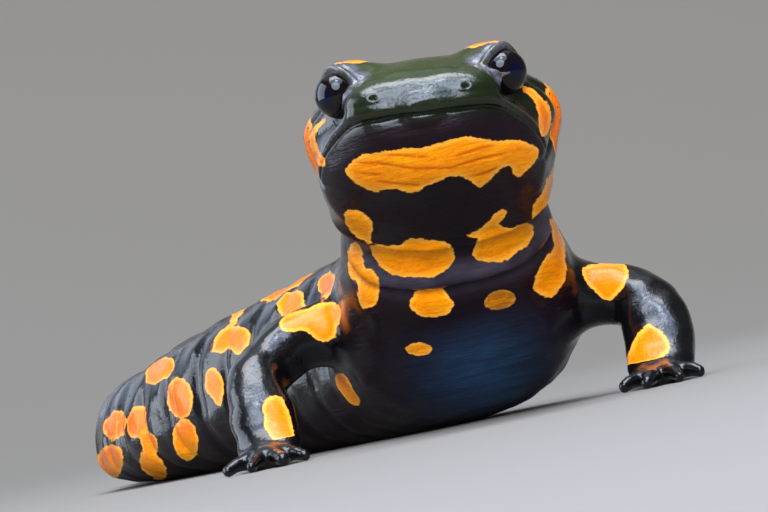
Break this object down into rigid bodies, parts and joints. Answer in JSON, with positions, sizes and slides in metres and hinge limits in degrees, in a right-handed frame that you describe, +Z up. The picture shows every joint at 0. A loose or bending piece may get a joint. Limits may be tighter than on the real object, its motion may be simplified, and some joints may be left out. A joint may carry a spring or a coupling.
{
  "type": "fire salamander",
  "caption": "Life-size fire salamander model, head raised and facing forward, forelimbs planted, trunk and tail curving behind, resting on belly, tail and soles.",
  "frame": {"origin": "on the flat of the belly, at the level of the floor, where the middle of the trunk rests", "axes": "+Z up, -Y the way the head faces, +X the animal's left"},
  "size_m": [0.0541, 0.1593, 0.0298],
  "materials": {
    "black_skin": "wet black amphibian skin with orange patches",
    "eye": "glossy dark eyeball"
  },
  "bodies": {
    "root": {"head": "black_skin", "lower_jaw": "black_skin", "eye_left": "eye", "eye_right": "eye", "neck": "black_skin", "trunk_front": "black_skin", "trunk_middle": "black_skin", "trunk_rear": "black_skin", "tail_base": "black_skin", "tail_middle": "black_skin", "tail_tip": "black_skin", "upper_arm_left": "black_skin", "forearm_left": "black_skin", "hand_left": "black_skin", "upper_arm_right": "black_skin", "forearm_right": "black_skin", "hand_right": "black_skin", "thigh_left": "black_skin", "shank_left": "black_skin", "foot_left": "black_skin", "thigh_right": "black_skin", "shank_right": "black_skin", "foot_right": "black_skin"}
  },
  "joints": []
}
